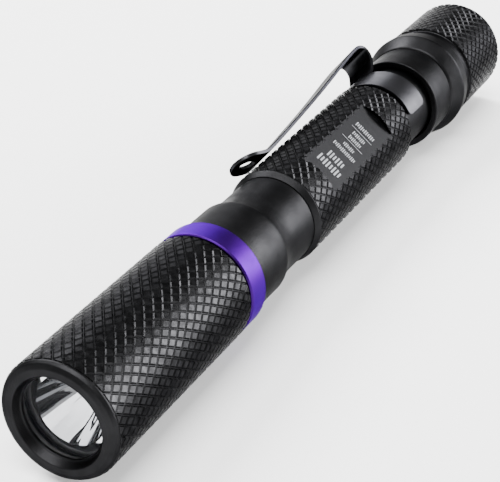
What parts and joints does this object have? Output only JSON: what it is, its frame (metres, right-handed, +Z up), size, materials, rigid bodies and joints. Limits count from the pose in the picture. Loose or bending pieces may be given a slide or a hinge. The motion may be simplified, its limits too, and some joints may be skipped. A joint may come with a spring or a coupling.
{
  "type": "ultraviolet pen torch",
  "caption": "Slim knurled metal pen torch with a deep reflector, coloured accent ring, pocket clip and push-button tail cap, for checking banknotes.",
  "frame": {"origin": "under the middle of the lying torch, on the surface that it rests on", "axes": "+Y along the torch from its front face to its tail, +Z up"},
  "size_m": [0.0202, 0.139, 0.019],
  "materials": {
    "black_anodise": "matte black bead-blasted anodised aluminium",
    "violet_anodise": "satin violet anodised aluminium",
    "spring_steel": "glossy black plated spring steel",
    "mirror": "smooth mirror-metallised",
    "lens_glass": "clear polished glass",
    "rubber": "matte moulded rubber",
    "brass": "turned brass",
    "board": "green solder-masked circuit board",
    "board_white": "white-masked metal-core board",
    "chip_black": "moulded black plastic",
    "ferrite": "ferrite and epoxy",
    "ceramic": "white ceramic package",
    "silicone": "clear silicone dome",
    "contact_steel": "plated spring contacts",
    "cell_wrap": "printed metal cell jacket, left plain",
    "switch_plastic": "black moulded plastic"
  },
  "bodies": {
    "torch": {"head_shell": "black_anodise", "lens": "lens_glass", "lens_o_ring": "rubber", "reflector": "mirror", "led_package": "ceramic", "led_dome": "silicone", "led_board": "board_white", "led_pill": "brass", "driver_board": "board", "driver_inductor": "ferrite", "driver_chip": "chip_black", "front_contact_spring": "contact_steel", "accent_ring": "violet_anodise", "neck": "black_anodise", "neck_o_ring": "rubber", "body_tube": "black_anodise", "rear_collar": "black_anodise", "tail_o_ring": "rubber", "front_cell": "cell_wrap", "rear_cell": "cell_wrap"},
    "clip_mount": {"clip_band": "spring_steel"},
    "clip_spring": {"clip_arm": "spring_steel"},
    "tail_carriage": {"tail_contact_washer": "contact_steel", "tail_spring": "contact_steel"},
    "tail": {"tail_cap": "black_anodise", "switch_housing": "switch_plastic", "switch_retaining_ring": "brass"},
    "button": {"switch_plunger": "chip_black", "rubber_button": "rubber"}
  },
  "joints": [
    {"name": "clip_swivel", "type": "hinge", "parent": "torch", "child": "clip_mount", "pos_m": [0.00088, 0.0307, 0.0092], "axis": [0, 1, 0], "continuous": true},
    {"name": "clip_flex", "type": "hinge", "parent": "clip_mount", "child": "clip_spring", "pos_m": [-0.00684, 0.0385, 0.01556], "axis": [-0.6361, 0, -0.7716], "range_deg": [0, 7], "stiffness_Nm_per_rad": 1.2},
    {"name": "tail_travel", "type": "slide", "parent": "torch", "child": "tail_carriage", "axis": [0, 1, 0], "range_m": [0, 0.004]},
    {"name": "tail_turn", "type": "hinge", "parent": "tail_carriage", "child": "tail", "pos_m": [0.00088, 0.055, 0.0092], "axis": [0, 1, 0], "range_deg": [0, 1440]},
    {"name": "button_press", "type": "slide", "parent": "tail", "child": "button", "axis": [0, -1, 0], "range_m": [0, 0.0016], "stiffness_N_per_m": 800}
  ],
  "couplings": [
    {"joint": "tail_turn", "follows": "tail_travel", "rad_per_m": 6283.2}
  ]
}
